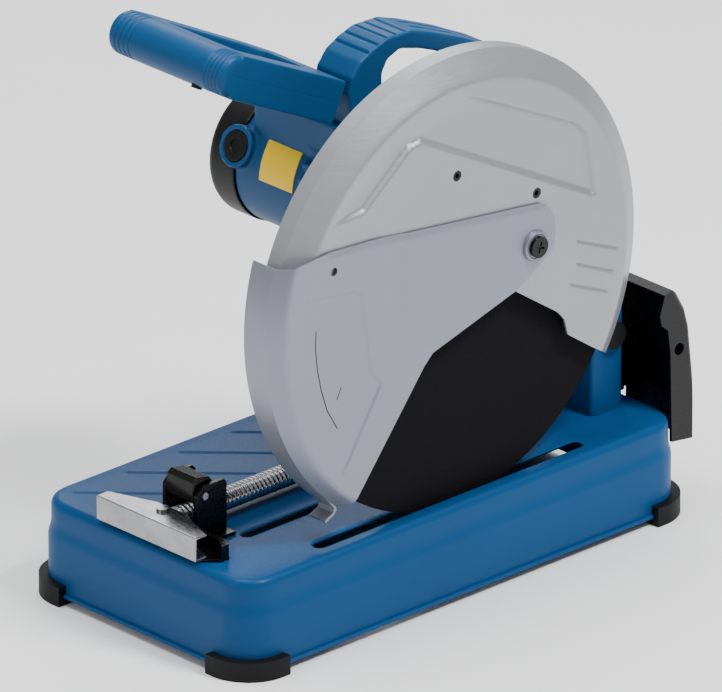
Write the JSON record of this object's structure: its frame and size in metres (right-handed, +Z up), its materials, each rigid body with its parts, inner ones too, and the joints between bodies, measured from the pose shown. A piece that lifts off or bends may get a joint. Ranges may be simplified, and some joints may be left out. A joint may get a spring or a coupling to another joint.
{
  "type": "abrasive chop saw",
  "caption": "Bench-top abrasive chop saw: pressed base with a screw vise, a hinged arm with motor, loop and carrying handles, a cutting disc, and a fixed and a retracting guard.",
  "frame": {"origin": "on the floor, under the disc spindle, at the middle of the overall box", "axes": "+X towards the arm's pivot, -Y towards the disc side, +Z up"},
  "size_m": [0.49, 0.26, 0.456],
  "materials": {
    "blue_paint": "semi-gloss powder coat",
    "blue_plastic": "fine texture",
    "black_plastic": "satin",
    "black_metal": "semi-gloss black",
    "rubber": "matte",
    "guard_metal": "silver lacquer",
    "lower_guard_metal": "silver lacquer",
    "steel": "turned",
    "zinc": "zinc plated",
    "cast_metal": "as cast",
    "abrasive": "bonded abrasive",
    "copper": "bare",
    "yellow_label": "printed foil, blank",
    "carbon": "matte"
  },
  "bodies": {
    "base": {"base_shell": "blue_paint", "foot_front_right": "rubber", "foot_front_left": "rubber", "foot_rear_right": "rubber", "foot_rear_left": "rubber", "column": "blue_paint", "column_bolts": "zinc", "pivot_shaft": "steel", "pivot_caps": "black_plastic", "spark_hood": "black_metal", "hood_screws": "zinc", "vise_bracket": "black_metal", "vise_shoe": "black_metal", "bracket_bolts": "black_metal", "lever_pin": "steel", "depth_stop": "zinc", "fence_bolts": "zinc"},
    "fence": {"fence": "black_metal"},
    "vise": {"vise_screw": "steel", "vise_handle": "zinc", "handle_rivet": "zinc"},
    "clamp_foot": {"clamp_foot": "black_metal"},
    "release_lever": {"release_lever": "black_metal"},
    "lock_pin": {"lock_pin": "steel"},
    "arm": {"gear_housing": "cast_metal", "arm_casting": "blue_paint", "return_spring": "steel", "motor_housing": "blue_plastic", "end_cap": "black_plastic", "brush_caps": "black_plastic", "carbon_brushes": "carbon", "stator": "steel", "label_plate": "yellow_label", "upper_guard": "guard_metal", "guard_back_plate": "guard_metal", "guard_screws": "black_metal", "guard_pivot_screw": "black_metal", "guard_spring": "steel", "carry_handle": "blue_plastic", "loop_handle_upper": "blue_plastic", "loop_handle_lower": "blue_plastic", "switch_block": "black_plastic", "power_inlet": "rubber", "spindle_bearings": "steel", "rotor_bearings": "steel"},
    "lower_guard": {"lower_guard": "lower_guard_metal"},
    "disc": {"abrasive_disc": "abrasive", "inner_flange": "steel", "outer_flange": "steel", "flange_bolt": "zinc", "spindle": "steel", "spindle_gear": "steel"},
    "rotor": {"rotor_shaft": "steel", "pinion": "steel", "armature": "copper", "commutator": "copper", "fan": "black_plastic"},
    "trigger": {"trigger": "black_plastic"},
    "lock_off_button": {"lock_off_button": "black_plastic"},
    "spindle_lock_button": {"spindle_lock_button": "black_plastic"}
  },
  "joints": [
    {"name": "arm_lift", "type": "hinge", "parent": "base", "child": "arm", "pos_m": [0.195, -0.015, 0.144], "axis": [0, 1, 0], "range_deg": [0, 40]},
    {"name": "guard_retract", "type": "hinge", "parent": "arm", "child": "lower_guard", "pos_m": [0.0713, -0.115, 0.269], "axis": [0, 1, 0], "range_deg": [0, 40], "stiffness_Nm_per_rad": 0.3, "springref_deg": -57.3},
    {"name": "disc_spin", "type": "hinge", "parent": "arm", "child": "disc", "pos_m": [0, -0.1, 0.249], "axis": [0, 1, 0], "continuous": true},
    {"name": "rotor_spin", "type": "hinge", "parent": "arm", "child": "rotor", "pos_m": [0.01, 0, 0.29697], "axis": [0, 1, 0], "continuous": true},
    {"name": "trigger_pull", "type": "hinge", "parent": "arm", "child": "trigger", "pos_m": [-0.13221, 0.071, 0.43374], "axis": [0.4384, 0, 0.8988], "range_deg": [0, 6], "stiffness_Nm_per_rad": 0.4},
    {"name": "lock_off_press", "type": "slide", "parent": "arm", "child": "lock_off_button", "axis": [0.4384, 0, 0.8988], "range_m": [0, 0.003], "stiffness_N_per_m": 300},
    {"name": "spindle_lock_press", "type": "slide", "parent": "arm", "child": "spindle_lock_button", "axis": [1, 0, 0], "range_m": [0, 0.005], "stiffness_N_per_m": 300},
    {"name": "lock_pin_slide", "type": "slide", "parent": "base", "child": "lock_pin", "axis": [0, 1, 0], "range_m": [-0.012, 0]},
    {"name": "vise_slide", "type": "slide", "parent": "base", "child": "vise", "axis": [1, 0, 0], "range_m": [-0.15, 0]},
    {"name": "clamp_foot_swivel", "type": "hinge", "parent": "vise", "child": "clamp_foot", "pos_m": [0.024, -0.0085, 0.092], "axis": [0, 0, 1], "range_deg": [-25, 25]},
    {"name": "release_lever_lift", "type": "hinge", "parent": "base", "child": "release_lever", "pos_m": [-0.1975, -0.0135, 0.116], "axis": [0, 1, 0], "range_deg": [0, 60]},
    {"name": "fence_swivel", "type": "hinge", "parent": "base", "child": "fence", "pos_m": [0.084, 0.01, 0.08], "axis": [0, 0, 1], "range_deg": [0, 45]}
  ],
  "couplings": [
    {"joint": "rotor_spin", "follows": "disc_spin", "ratio": -3.0833}
  ]
}
